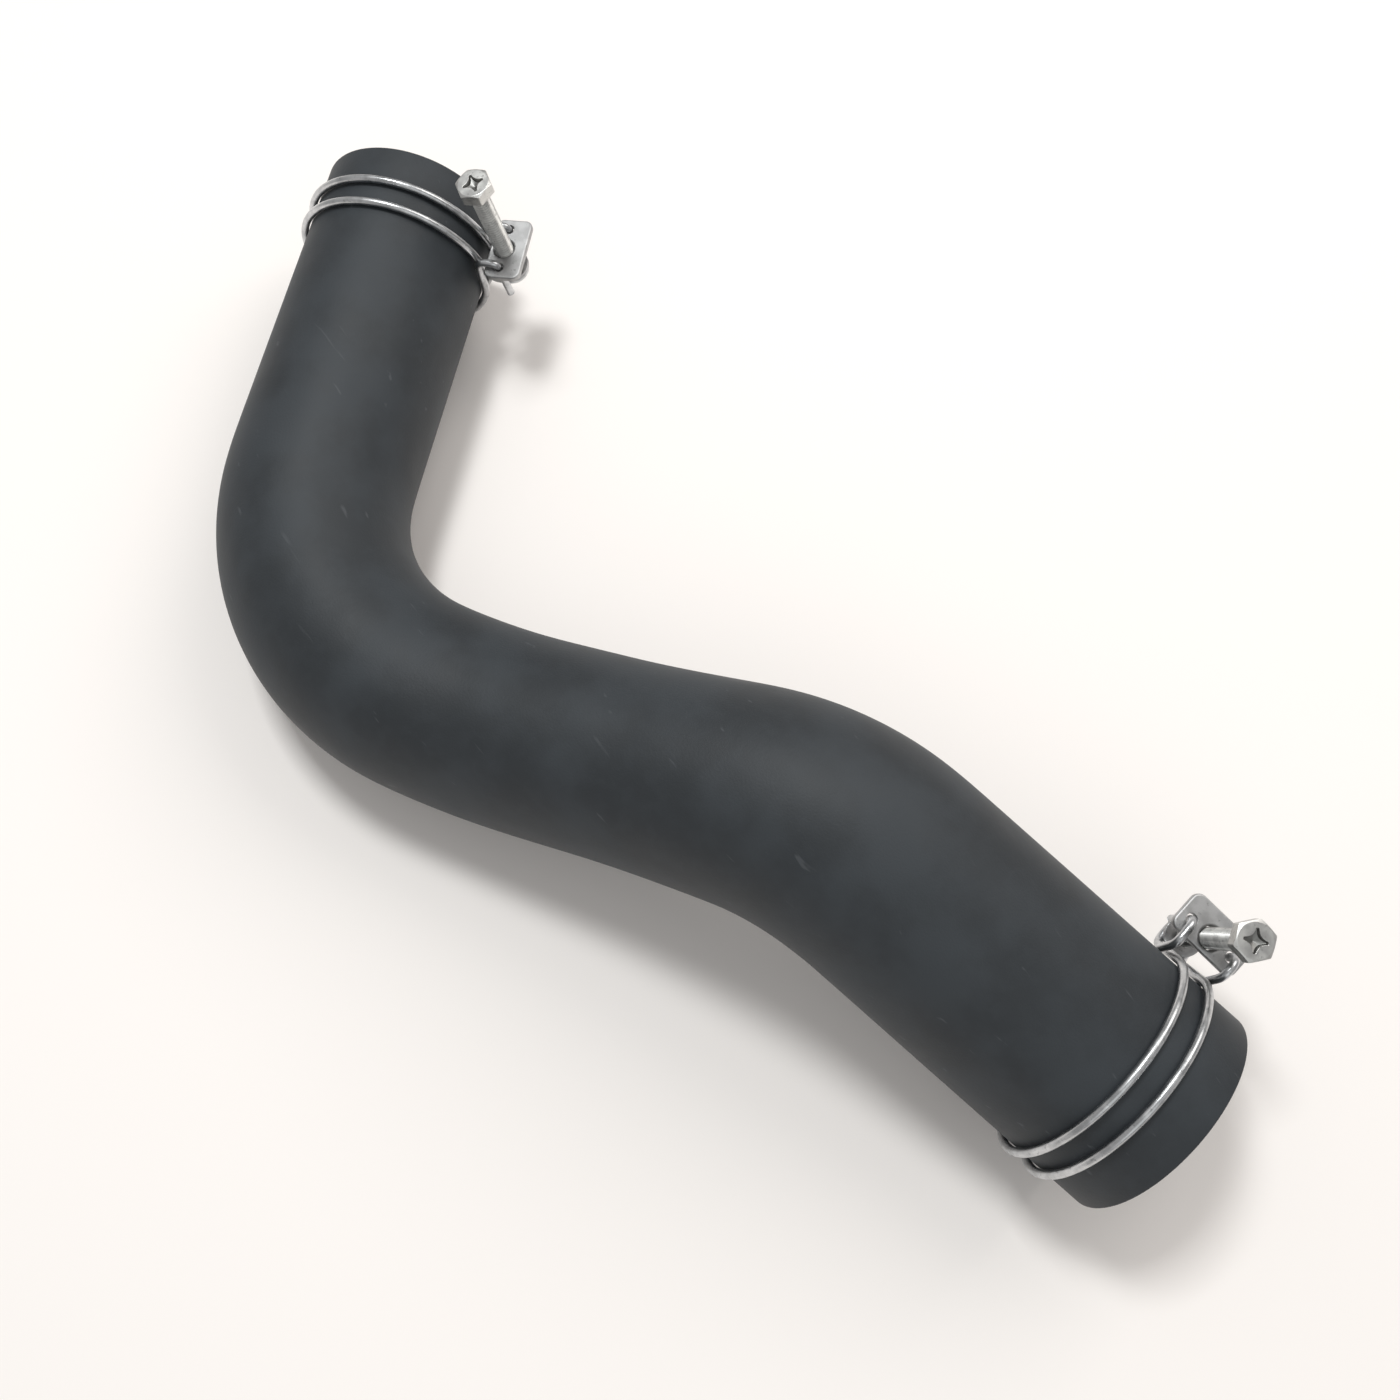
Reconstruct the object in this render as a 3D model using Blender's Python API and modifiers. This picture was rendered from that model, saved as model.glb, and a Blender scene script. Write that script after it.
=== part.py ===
"""Fuel filler hose: a moulded rubber hose with a double-wire screw clamp on each end.

The hose lies on the ground plane (z = 0) as it comes to rest: the small-bore leg and the
elbow lie flat, the middle rises to a crest, and the large-bore leg dips back to the ground.
X runs from the small end to the large end, and +Z is up. Lengths are in metres.
"""
import math

import bmesh
import bpy
from mathutils import Matrix, Vector

MM = 0.001

# Hose: bores and wall
SMALL_BORE = 47.2 * MM
LARGE_BORE = 53.4 * MM
HOSE_WALL = 5.0 * MM

# Hose route: the run of each straight leg over the ground between the corners where the legs
# would meet, its heading from the X axis, and the height of each corner and rim
SMALL_LEG_RUN = 154.34 * MM
RISE_LEG_RUN = 74.84 * MM
CREST_LEG_RUN = 99.22 * MM
LARGE_LEG_RUN = 112.76 * MM
SMALL_LEG_HEADING = math.radians(-49.12)
RISE_LEG_HEADING = math.radians(28.93)
CREST_LEG_HEADING = math.radians(32.7)
LARGE_LEG_HEADING = math.radians(13.8)
SMALL_RIM_HEIGHT = 31.89 * MM
ELBOW_HEIGHT = 27.6 * MM
RISE_HEIGHT = 30.7 * MM
CREST_HEIGHT = 58.1 * MM
LARGE_RIM_HEIGHT = 30.82 * MM
ELBOW_X = -73.16 * MM
ELBOW_Y = -76.13 * MM
ELBOW_BEND_RADIUS = 66.0 * MM
RISE_BEND_RADIUS = 150.0 * MM
CREST_BEND_RADIUS = 70.0 * MM
TAPER_START = 250.0 * MM
TAPER_LENGTH = 80.0 * MM
HOSE_STATION = 9.5 * MM
HOSE_SIDES = 32

# Clamp wire: two rings, a hook at each end and one U-bend around the thrust cup
WIRE_DIAMETER = 2.4 * MM
RING_SPACING = 8.4 * MM
LEG_BEND_RADIUS = 3.0 * MM
LEG_FROM_SCREW = 5.7 * MM
HOOK_STUB = 12.0 * MM
FLARE_ANGLE = math.radians(40)
FLARE_SHARE = 0.55
WIRE_STEP = 4.6 * MM

# Clamp plate: threaded for the screw, with a hole for each wire hook; its outline's middle
# lies a little further out from the hose than the line of its holes
PLATE_LENGTH = 21.6 * MM
PLATE_WIDTH = 12.0 * MM
PLATE_THICKNESS = 2.1 * MM
PLATE_CORNER_RADIUS = 2.5 * MM
PLATE_OFFSET = 1.35 * MM
HOOK_HOLE_SPACING = 14.2 * MM
HOOK_HOLE_DIAMETER = 3.3 * MM
COLLAR_DIAMETER = 7.6 * MM
COLLAR_HEIGHT = 2.0 * MM

# Screw: hexagon head with a cross recess, plain shank for the thread, pilot tip
SCREW_DIAMETER = 5.8 * MM
HEAD_ACROSS_FLATS = 10.0 * MM
HEAD_HEIGHT = 4.2 * MM
HEAD_LAND_SHARE = 0.94
HEAD_CHAMFER_ANGLE = math.radians(28)
RECESS_ACROSS = 6.6 * MM
RECESS_WING = 1.25 * MM
RECESS_DEPTH = 2.2 * MM
RECESS_FOOT_SHARE = 0.3
PILOT_DIAMETER = 3.2 * MM
PILOT_LENGTH = 3.3 * MM

# Thrust cup: the flanged cup that the screw's pilot turns in
CUP_BORE_DEPTH = 3.0 * MM
CUP_FLOOR = 1.5 * MM
CUP_FLANGE_DIAMETER = 11.2 * MM
CUP_FLANGE_THICKNESS = 1.2 * MM
CUP_WALL = 0.75 * MM

# Clearances between pieces
SEAT_GAP = 0.3 * MM
HOOK_GAP = 0.4 * MM
PILOT_GAP = 0.2 * MM

# Small-end clamp: where it sits and how far its screw is turned in
SMALL_CLAMP_FROM_RIM = 17.8 * MM
SMALL_CLAMP_CLOCKING = math.radians(9)
SMALL_SCREW_STAND_OFF = 9.4 * MM
SMALL_PLATE_RISE = 5.8 * MM
SMALL_PLATE_TURN = math.radians(-0.7)
SMALL_SCREW_SKEW = math.radians(1.9)
SMALL_SCREW_SHIFT = 0.65 * MM
SMALL_HOOK_RISES = (1.7 * MM, 1.7 * MM)
SMALL_HOOK_REACHES = (1.9 * MM, 1.9 * MM)
SMALL_SCREW_LENGTH = 38.8 * MM
SMALL_SCREW_EXPOSED = 27.6 * MM
SMALL_HEAD_TURN = math.radians(3.75)
SMALL_RECESS_TURN = math.radians(32.6)

# Large-end clamp
LARGE_CLAMP_FROM_RIM = 19.3 * MM
LARGE_CLAMP_CLOCKING = math.radians(7)
LARGE_SCREW_STAND_OFF = 11.5 * MM
LARGE_PLATE_RISE = 4.6 * MM
LARGE_PLATE_TURN = math.radians(3.1)
LARGE_SCREW_SKEW = math.radians(-2.5)
LARGE_SCREW_SHIFT = -1.0 * MM
LARGE_HOOK_RISES = (2.6 * MM, 5.0 * MM)
LARGE_HOOK_REACHES = (3.6 * MM, 1.9 * MM)
LARGE_SCREW_LENGTH = 43.0 * MM
LARGE_SCREW_EXPOSED = 22.2 * MM
LARGE_HEAD_TURN = math.radians(22.5)
LARGE_RECESS_TURN = math.radians(28.5)

ROUND_SIDES = 24
HOLE_SIDES = 16
MERGE = 0.00001


def clear_scene():
    """Remove every object left in the scene."""
    for leftover in list(bpy.data.objects):
        bpy.data.objects.remove(leftover, do_unlink=True)


def new_collection(name):
    """Make a collection in the scene."""
    collection = bpy.data.collections.new(name)
    bpy.context.scene.collection.children.link(collection)
    return collection


def make_material(name, colour, roughness, metallic):
    """Make a Principled material from a colour, a roughness and a metallic value."""
    material = bpy.data.materials.new(name)
    material.use_nodes = True
    shader = material.node_tree.nodes["Principled BSDF"]
    shader.inputs["Base Color"].default_value = (*colour, 1.0)
    shader.inputs["Roughness"].default_value = roughness
    shader.inputs["Metallic"].default_value = metallic
    return material


def route_corners():
    """Corners of the hose's centre line, from the small rim to the large rim."""
    def onward(start, run, heading, height):
        return Vector((start.x + run * math.cos(heading), start.y + run * math.sin(heading), height))

    elbow = Vector((ELBOW_X, ELBOW_Y, ELBOW_HEIGHT))
    small_rim = onward(elbow, -SMALL_LEG_RUN, SMALL_LEG_HEADING, SMALL_RIM_HEIGHT)
    rise = onward(elbow, RISE_LEG_RUN, RISE_LEG_HEADING, RISE_HEIGHT)
    crest = onward(rise, CREST_LEG_RUN, CREST_LEG_HEADING, CREST_HEIGHT)
    large_rim = onward(crest, LARGE_LEG_RUN, LARGE_LEG_HEADING, LARGE_RIM_HEIGHT)
    return [small_rim, elbow, rise, crest, large_rim]


def smoothstep(share):
    """Rise smoothly from 0 to 1 while the share goes from 0 to 1."""
    share = min(max(share, 0.0), 1.0)
    return share * share * (3.0 - 2.0 * share)


def arc_points(corner, before, after, radius, step):
    """Round one corner: points on the arc that is tangent to both of its legs."""
    back = (before - corner).normalized()
    ahead = (after - corner).normalized()
    turn = math.pi - back.angle(ahead)
    trim = radius * math.tan(turn / 2)
    centre = corner + (back + ahead).normalized() * radius / math.cos(turn / 2)
    spoke = corner + back * trim - centre
    axis = back.cross(ahead).normalized()
    count = max(2, math.ceil(radius * turn / step))
    return [centre + Matrix.Rotation(-turn * i / count, 3, axis) @ spoke for i in range(count + 1)]


def rounded_path(corners, radii, step):
    """Join the first and last corner by straight legs, with an arc at each corner between."""
    points = [corners[0]]
    for i, radius in enumerate(radii, start=1):
        points += arc_points(corners[i], corners[i - 1], corners[i + 1], radius, step)
    return points + [corners[-1]]


def resample(points, step):
    """Space points evenly along a polyline, and return them with their distances."""
    reach = [0.0]
    for a, b in zip(points, points[1:]):
        reach.append(reach[-1] + (b - a).length)
    count = round(reach[-1] / step)
    distances = [reach[-1] * i / count for i in range(count + 1)]
    spaced = []
    leg = 0
    for distance in distances:
        while leg < len(points) - 2 and reach[leg + 1] < distance:
            leg += 1
        share = (distance - reach[leg]) / (reach[leg + 1] - reach[leg])
        spaced.append(points[leg].lerp(points[leg + 1], share))
    return spaced, distances


def hose_radius(distance):
    """Outer radius of the hose at a distance along its centre line from the small end."""
    growth = smoothstep((distance - TAPER_START) / TAPER_LENGTH)
    return SMALL_BORE / 2 + HOSE_WALL + growth * (LARGE_BORE - SMALL_BORE) / 2


def tube_mesh(name, points, radii, sides, caps):
    """Sweep a circle of changing radius along a polyline, and return it as a mesh."""
    curve = bpy.data.curves.new(name, "CURVE")
    curve.dimensions = "3D"
    curve.bevel_depth = 1.0
    curve.bevel_resolution = (sides - 4) // 2
    curve.use_fill_caps = caps
    spline = curve.splines.new("POLY")
    spline.points.add(len(points) - 1)
    for knot, point, radius in zip(spline.points, points, radii):
        knot.co = (*point, 1.0)
        knot.radius = radius
    sweep = bpy.data.objects.new(name, curve)
    bpy.context.scene.collection.objects.link(sweep)
    bpy.context.view_layer.update()
    mesh = bpy.data.meshes.new_from_object(sweep.evaluated_get(bpy.context.evaluated_depsgraph_get()))
    bpy.data.objects.remove(sweep, do_unlink=True)
    work = bmesh.new()
    work.from_mesh(mesh)
    bmesh.ops.remove_doubles(work, verts=work.verts, dist=MERGE)
    bmesh.ops.recalc_face_normals(work, faces=work.faces)
    work.to_mesh(mesh)
    work.free()
    return mesh


def add_object(name, mesh, collection, material=None, parent=None):
    """Place a mesh as a named object."""
    item = bpy.data.objects.new(name, mesh)
    collection.objects.link(item)
    item.parent = parent
    if material:
        mesh.materials.clear()
        mesh.materials.append(material)
    return item


def shade(item, angle=35):
    """Shade a piece smooth, with its sharper edges kept."""
    item.data.shade_smooth()
    item.data.set_sharp_from_angle(angle=math.radians(angle))


def turned_object(name, profile, collection, material=None, parent=None, sides=ROUND_SIDES):
    """Turn a (radius, height) profile about Z with a Screw modifier."""
    mesh = bpy.data.meshes.new(name)
    mesh.from_pydata([(r, 0, z) for r, z in profile], [(i, i + 1) for i in range(len(profile) - 1)], [])
    item = add_object(name, mesh, collection, material, parent)
    lathe = item.modifiers.new("lathe", "SCREW")
    lathe.steps = sides
    lathe.render_steps = sides
    lathe.use_merge_vertices = True
    lathe.merge_threshold = MERGE
    lathe.use_normal_calculate = False
    return item


def prism_object(name, sides, radius_low, radius_high, low, high, collection, parent=None, turn=0.0):
    """Make a prism or a cone frustum about Z between two heights."""
    work = bmesh.new()
    bmesh.ops.create_cone(work, cap_ends=True, segments=sides, radius1=radius_low,
                          radius2=radius_high, depth=high - low)
    bmesh.ops.rotate(work, verts=work.verts, matrix=Matrix.Rotation(turn, 3, "Z"))
    bmesh.ops.translate(work, verts=work.verts, vec=(0, 0, (low + high) / 2))
    mesh = bpy.data.meshes.new(name)
    work.to_mesh(mesh)
    work.free()
    return add_object(name, mesh, collection, parent=parent)


def combine(item, tool, operation):
    """Join, cut or intersect a piece with a tool, which is hidden afterwards."""
    boolean = item.modifiers.new(tool.name, "BOOLEAN")
    boolean.operation = operation
    boolean.object = tool
    tool.hide_render = True
    tool.display_type = "WIRE"


class Clamp:
    """The sizes and places of one clamp, in its own frame.

    The frame's origin is on the hose's centre line, midway between the two wire rings. Its Z
    runs along the hose towards the small end, its X points out to the screw, and its Y runs
    along the screw, from its head to its tip.
    """

    def __init__(self, name, hose_r, stand_off, plate_rise, plate_turn, skew, shift, screw_length,
                 exposed, head_turn, recess_turn, hook_rises, hook_reaches):
        self.name = name
        self.skew = skew
        self.shift = shift
        self.hook_rises = hook_rises
        self.hook_reaches = hook_reaches
        self.head_turn = head_turn
        self.recess_turn = recess_turn
        self.wire_r = WIRE_DIAMETER / 2
        self.ring_r = hose_r + SEAT_GAP + self.wire_r
        self.screw_x = hose_r + stand_off
        self.plate_y = -plate_rise
        self.plate_turn = plate_turn
        self.screw_length = screw_length
        self.head_y = self.plate_y - exposed
        self.tip_y = self.head_y + screw_length
        self.cup_bore_r = PILOT_DIAMETER / 2 + PILOT_GAP
        self.cup_body_r = self.cup_bore_r + CUP_WALL
        self.loop_r = self.cup_body_r + SEAT_GAP + self.wire_r
        self.cup_top_y = self.tip_y + SEAT_GAP - CUP_BORE_DEPTH
        self.loop_y = self.cup_top_y + CUP_FLANGE_THICKNESS + SEAT_GAP + self.wire_r

    def hook_hole(self, side):
        """Centre of one hook hole in the plate, as X and Z."""
        reach = side * HOOK_HOLE_SPACING / 2
        return self.screw_x + reach * math.sin(self.plate_turn), reach * math.cos(self.plate_turn)

    def tangent_angle(self, x, y, way):
        """Angle at which a straight run to (x, y) leaves the ring on one side of that point."""
        return math.atan2(y, x) + way * math.acos(self.ring_r / math.hypot(x, y))

    def ring_point(self, angle, z):
        """Point on a wire ring at an angle from X towards Y."""
        return Vector((self.ring_r * math.cos(angle), self.ring_r * math.sin(angle), z))

    def half_wire(self, side):
        """Centre line of half the wire: stub, hook, ring and leg, to where the U-bend starts."""
        hole_x, hole_z = self.hook_hole(side)
        ring_z = side * RING_SPACING / 2
        rise = self.hook_rises[0 if side > 0 else 1]
        reach = self.hook_reaches[0 if side > 0 else 1]
        hook_y = self.plate_y - max(rise, self.wire_r + HOOK_GAP)
        edge_x = hole_x - (PLATE_WIDTH / 2 - PLATE_OFFSET) / math.cos(self.plate_turn)
        near_x = edge_x - max(reach, self.wire_r + HOOK_GAP)
        stub_end = Vector((hole_x, self.plate_y + PLATE_THICKNESS + HOOK_STUB, hole_z))
        hook_top = Vector((hole_x, hook_y, hole_z))
        shoulder = Vector((near_x, hook_y, hole_z))
        leave = self.tangent_angle(near_x, hook_y, 1)
        tangent = self.ring_point(leave, ring_z)
        steady = tangent.lerp(shoulder, FLARE_SHARE)
        steady.z = hole_z
        bend = min(self.plate_y - hook_y, (hole_x - near_x) / 2)
        points = rounded_path([stub_end, hook_top, shoulder, steady], [bend] * 2, WIRE_STEP / 4)

        flare = self.ring_r * FLARE_ANGLE
        total = flare + (Vector((steady.x, steady.y, ring_z)) - tangent).length
        count = math.ceil(total / WIRE_STEP)
        for i in range(1, count + 1):
            back = total * i / count
            z = hole_z + (ring_z - hole_z) * smoothstep(back / total)
            straight = total - flare
            if back < straight:
                spot = steady.lerp(tangent, back / straight)
                points.append(Vector((spot.x, spot.y, z)))
            else:
                points.append(self.ring_point(leave + (back - straight) / self.ring_r, z))

        corner = Vector((self.screw_x - LEG_FROM_SCREW, self.loop_y, ring_z))
        arrive = self.tangent_angle(corner.x, corner.y, -1) + 2 * math.pi
        start = leave + FLARE_ANGLE
        count = math.ceil(self.ring_r * (arrive - start) / WIRE_STEP)
        points += [self.ring_point(start + (arrive - start) * i / count, ring_z) for i in range(1, count)]
        loop_start = Vector((self.screw_x, self.loop_y, side * self.loop_r))
        leg = [self.ring_point(arrive, ring_z), corner, loop_start]
        return points + rounded_path(leg, [LEG_BEND_RADIUS], WIRE_STEP / 3)

    def skewed(self, point):
        """Lean a wire point with the screw, less and less from the screw back to the ring."""
        share = smoothstep((point.x / self.ring_r - 0.7) / 0.3)
        pivot = Vector((0, self.plate_y, 0))
        lean = Matrix.Rotation(self.skew * share, 3, "X")
        return pivot + lean @ (point - pivot) + Vector((0, 0, self.shift * share))

    def wire_points(self):
        """Centre line of the whole wire, which is one piece from stub to stub."""
        count = 8
        bend = []
        for i in range(1, count):
            angle = math.pi * (0.5 - i / count)
            out = self.screw_x + self.loop_r * math.cos(angle)
            bend.append(Vector((out, self.loop_y, self.loop_r * math.sin(angle))))
        return [self.skewed(p) for p in self.half_wire(1) + bend + self.half_wire(-1)[::-1]]


def clamp_frame(points, distances, station, clocking):
    """Place a clamp on the hose: matrix of its frame at a distance along the centre line."""
    near = min(range(1, len(points) - 1), key=lambda i: abs(distances[i] - station))
    run = (points[near + 1] - points[near - 1]).normalized()
    centre = points[near] + run * (station - distances[near])
    level = Vector((0, 0, 1)).cross(run).normalized()
    top = run.cross(level)
    x_axis = level * math.cos(clocking) + top * math.sin(clocking)
    z_axis = -run
    y_axis = z_axis.cross(x_axis)
    return Matrix.Translation(centre) @ Matrix((x_axis, y_axis, z_axis)).transposed().to_4x4()


def make_hose(points, distances, collection, material):
    """The moulded hose: an open tube of the outer shape, with the wall turned inwards."""
    mesh = tube_mesh("hose_body", points, [hose_radius(d) for d in distances], HOSE_SIDES, False)
    hose = add_object("hose_body", mesh, collection, material)
    wall = hose.modifiers.new("wall", "SOLIDIFY")
    wall.thickness = HOSE_WALL
    wall.offset = -1.0
    wall.use_even_offset = True
    shade(hose)


def make_wire(clamp, parent, collection, material):
    """The clamp's wire, bent from one length of round wire."""
    points = clamp.wire_points()
    mesh = tube_mesh(clamp.name + "_clamp_wire", points, [clamp.wire_r] * len(points), 8, True)
    wire = add_object(clamp.name + "_clamp_wire", mesh, collection, material, parent)
    shade(wire)


def make_plate(clamp, parent, collection, tools, material):
    """The threaded plate: rounded corners, a collar behind it, and holes for the wire hooks."""
    name = clamp.name + "_clamp_plate"
    work = bmesh.new()
    bmesh.ops.create_cube(work, size=1.0)
    bmesh.ops.scale(work, verts=work.verts, vec=(PLATE_WIDTH, PLATE_THICKNESS, PLATE_LENGTH))
    upright = [e for e in work.edges if abs(e.verts[0].co.y - e.verts[1].co.y) > PLATE_THICKNESS / 2]
    bmesh.ops.bevel(work, geom=upright, offset=PLATE_CORNER_RADIUS, segments=5, profile=0.5,
                    affect="EDGES")
    bmesh.ops.translate(work, verts=work.verts, vec=(PLATE_OFFSET, 0, 0))
    mesh = bpy.data.meshes.new(name)
    work.to_mesh(mesh)
    work.free()
    plate = add_object(name, mesh, collection, material, parent)
    plate.location = (0, PLATE_THICKNESS / 2, 0)
    plate.rotation_euler = (0, clamp.plate_turn, 0)

    collar_r = COLLAR_DIAMETER / 2
    back = PLATE_THICKNESS / 2
    collar = prism_object(name + "_collar", ROUND_SIDES, collar_r, collar_r, 0.0,
                          back + COLLAR_HEIGHT, tools, plate)
    collar.rotation_euler = (-math.pi / 2, 0, 0)
    combine(plate, collar, "UNION")
    bore_r = SCREW_DIAMETER / 2 + SEAT_GAP
    bore = prism_object(name + "_bore", ROUND_SIDES, bore_r, bore_r, -2 * back,
                        2 * back + COLLAR_HEIGHT, tools, plate)
    bore.rotation_euler = (-math.pi / 2, 0, 0)
    combine(plate, bore, "DIFFERENCE")
    hole_r = HOOK_HOLE_DIAMETER / 2
    for side in (-1, 1):
        hole = prism_object(f"{name}_hole_{side}", HOLE_SIDES, hole_r, hole_r, -2 * back, 2 * back,
                            tools, plate)
        hole.rotation_euler = (-math.pi / 2, 0, 0)
        hole.location = (0, 0, side * HOOK_HOLE_SPACING / 2)
        combine(plate, hole, "DIFFERENCE")
    shade(plate)


def make_screw(clamp, parent, collection, tools, material):
    """The clamp screw, modelled along its own Z with its head up and its origin under the head."""
    name = clamp.name + "_clamp_screw"
    shank_r = SCREW_DIAMETER / 2
    pilot_r = PILOT_DIAMETER / 2
    length = clamp.screw_length
    pilot_top = PILOT_LENGTH - length
    bevel = shank_r - pilot_r
    profile = [(0, HEAD_HEIGHT / 4), (shank_r, HEAD_HEIGHT / 4), (shank_r, pilot_top + bevel / 2),
               (pilot_r, pilot_top), (pilot_r, bevel / 2 - length), (pilot_r - bevel / 2, -length),
               (0, -length)]
    screw = turned_object(name, profile, collection, material, parent)
    screw.location = (0, clamp.head_y - clamp.plate_y, 0)
    screw.rotation_euler = (math.pi / 2, 0, 0)

    corner_r = HEAD_ACROSS_FLATS / 2 / math.cos(math.pi / 6)
    head = prism_object(name + "_head", 6, corner_r, corner_r, 0.0, HEAD_HEIGHT, tools, screw,
                        turn=math.pi / 6 + clamp.head_turn)
    land_r = HEAD_ACROSS_FLATS / 2 * HEAD_LAND_SHARE
    slope = math.tan(HEAD_CHAMFER_ANGLE)
    dome_low_r = land_r + HEAD_HEIGHT * 2 / slope
    dome = prism_object(name + "_head_chamfer", 2 * ROUND_SIDES, dome_low_r, land_r, -HEAD_HEIGHT,
                        HEAD_HEIGHT, tools, screw)
    combine(head, dome, "INTERSECT")
    combine(screw, head, "UNION")
    for i in range(2):
        work = bmesh.new()
        bmesh.ops.create_cone(work, cap_ends=True, segments=4, radius1=RECESS_FOOT_SHARE,
                              radius2=math.sqrt(0.5), depth=1.0)
        bmesh.ops.rotate(work, verts=work.verts, matrix=Matrix.Rotation(math.pi / 4, 3, "Z"))
        deep = RECESS_DEPTH * 2
        bmesh.ops.scale(work, verts=work.verts, vec=(RECESS_ACROSS, RECESS_WING, deep))
        turn = i * math.pi / 2 + clamp.recess_turn
        bmesh.ops.rotate(work, verts=work.verts, matrix=Matrix.Rotation(turn, 3, "Z"))
        wing_mesh = bpy.data.meshes.new(f"{name}_recess_{i}")
        work.to_mesh(wing_mesh)
        work.free()
        wing = add_object(f"{name}_recess_{i}", wing_mesh, tools, parent=screw)
        wing.location = (0, 0, HEAD_HEIGHT)
        combine(screw, wing, "DIFFERENCE")
    shade(screw)


def make_cup(clamp, parent, collection, material):
    """The thrust cup: its flange bears on the wire's U-bend, and its bore holds the pilot."""
    flange_r = CUP_FLANGE_DIAMETER / 2
    bottom = CUP_BORE_DEPTH + CUP_FLOOR
    profile = [(0, -CUP_BORE_DEPTH), (clamp.cup_bore_r, -CUP_BORE_DEPTH), (clamp.cup_bore_r, 0),
               (flange_r, 0), (flange_r, -CUP_FLANGE_THICKNESS),
               (clamp.cup_body_r, -CUP_FLANGE_THICKNESS), (clamp.cup_body_r, -bottom), (0, -bottom)]
    cup = turned_object(clamp.name + "_clamp_thrust_cup", profile, collection, material, parent)
    cup.location = (0, clamp.cup_top_y - clamp.plate_y, 0)
    cup.rotation_euler = (math.pi / 2, 0, 0)
    shade(cup)


def make_clamp(clamp, frame, collection, tools, materials):
    """One clamp, carried by an empty at the middle of its rings."""
    anchor = bpy.data.objects.new(clamp.name + "_clamp", None)
    collection.objects.link(anchor)
    anchor.matrix_world = frame
    make_wire(clamp, anchor, collection, materials["wire"])
    lean = bpy.data.objects.new(clamp.name + "_clamp_screw_line", None)
    collection.objects.link(lean)
    lean.parent = anchor
    lean.location = (clamp.screw_x, clamp.plate_y, clamp.shift)
    lean.rotation_euler = (clamp.skew, 0, 0)
    make_plate(clamp, lean, collection, tools, materials["plate"])
    make_screw(clamp, lean, collection, tools, materials["screw"])
    make_cup(clamp, lean, collection, materials["cup"])


def main():
    """Build the hose and its two clamps."""
    clear_scene()
    collection = new_collection("fuel_filler_hose")
    tools = new_collection("fuel_filler_hose_cutters")
    rubber = make_material("hose_rubber", (0.048, 0.052, 0.056), 0.62, 0.0)
    materials = {
        "wire": make_material("clamp_wire_steel", (0.62, 0.63, 0.64), 0.32, 1.0),
        "plate": make_material("clamp_plate_steel", (0.56, 0.56, 0.56), 0.4, 1.0),
        "screw": make_material("clamp_screw_steel", (0.66, 0.66, 0.64), 0.3, 1.0),
        "cup": make_material("clamp_cup_steel", (0.52, 0.52, 0.52), 0.42, 1.0),
    }

    bends = [ELBOW_BEND_RADIUS, RISE_BEND_RADIUS, CREST_BEND_RADIUS]
    path = rounded_path(route_corners(), bends, HOSE_STATION / 4)
    points, distances = resample(path, HOSE_STATION)
    total = distances[-1]
    make_hose(points, distances, collection, rubber)

    small = Clamp("small_end", hose_radius(SMALL_CLAMP_FROM_RIM), SMALL_SCREW_STAND_OFF,
                  SMALL_PLATE_RISE, SMALL_PLATE_TURN, SMALL_SCREW_SKEW, SMALL_SCREW_SHIFT,
                  SMALL_SCREW_LENGTH, SMALL_SCREW_EXPOSED, SMALL_HEAD_TURN, SMALL_RECESS_TURN,
                  SMALL_HOOK_RISES, SMALL_HOOK_REACHES)
    frame = clamp_frame(points, distances, SMALL_CLAMP_FROM_RIM, SMALL_CLAMP_CLOCKING)
    make_clamp(small, frame, collection, tools, materials)

    station = total - LARGE_CLAMP_FROM_RIM
    large = Clamp("large_end", hose_radius(station), LARGE_SCREW_STAND_OFF, LARGE_PLATE_RISE,
                  LARGE_PLATE_TURN, LARGE_SCREW_SKEW, LARGE_SCREW_SHIFT, LARGE_SCREW_LENGTH,
                  LARGE_SCREW_EXPOSED, LARGE_HEAD_TURN, LARGE_RECESS_TURN, LARGE_HOOK_RISES,
                  LARGE_HOOK_REACHES)
    frame = clamp_frame(points, distances, station, LARGE_CLAMP_CLOCKING)
    make_clamp(large, frame, collection, tools, materials)


main()
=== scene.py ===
import math

import bmesh
import bpy
import numpy as np
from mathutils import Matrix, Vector, geometry


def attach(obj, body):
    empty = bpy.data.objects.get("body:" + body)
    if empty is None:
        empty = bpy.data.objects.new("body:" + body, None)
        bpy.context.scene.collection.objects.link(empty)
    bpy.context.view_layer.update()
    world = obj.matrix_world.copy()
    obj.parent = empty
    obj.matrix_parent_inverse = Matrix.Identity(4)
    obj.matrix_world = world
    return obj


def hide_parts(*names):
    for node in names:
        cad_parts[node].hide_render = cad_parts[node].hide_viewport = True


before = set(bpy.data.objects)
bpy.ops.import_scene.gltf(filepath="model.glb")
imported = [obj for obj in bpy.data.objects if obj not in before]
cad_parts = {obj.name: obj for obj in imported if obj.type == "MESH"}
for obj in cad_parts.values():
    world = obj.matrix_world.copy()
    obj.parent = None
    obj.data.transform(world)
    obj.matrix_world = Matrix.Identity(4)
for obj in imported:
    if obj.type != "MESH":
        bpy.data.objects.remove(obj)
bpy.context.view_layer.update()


# Hose
# One moulded rubber tube, hollow from rim to rim. Its straight legs meet in three rounded
# bends, and it widens between the rise and the crest to fit the larger spigot.
MM = 0.001
UP = np.array([0.0, 0.0, 1.0])
SMALL_HOSE_RADIUS = 28.6 * MM
LARGE_HOSE_RADIUS = 31.7 * MM
HOSE_WALL = 5.0 * MM
LEG_RUNS = (154.34 * MM, 74.84 * MM, 99.22 * MM, 112.76 * MM)
LEG_HEADINGS = np.radians((-49.12, 28.93, 32.7, 13.8))
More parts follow.
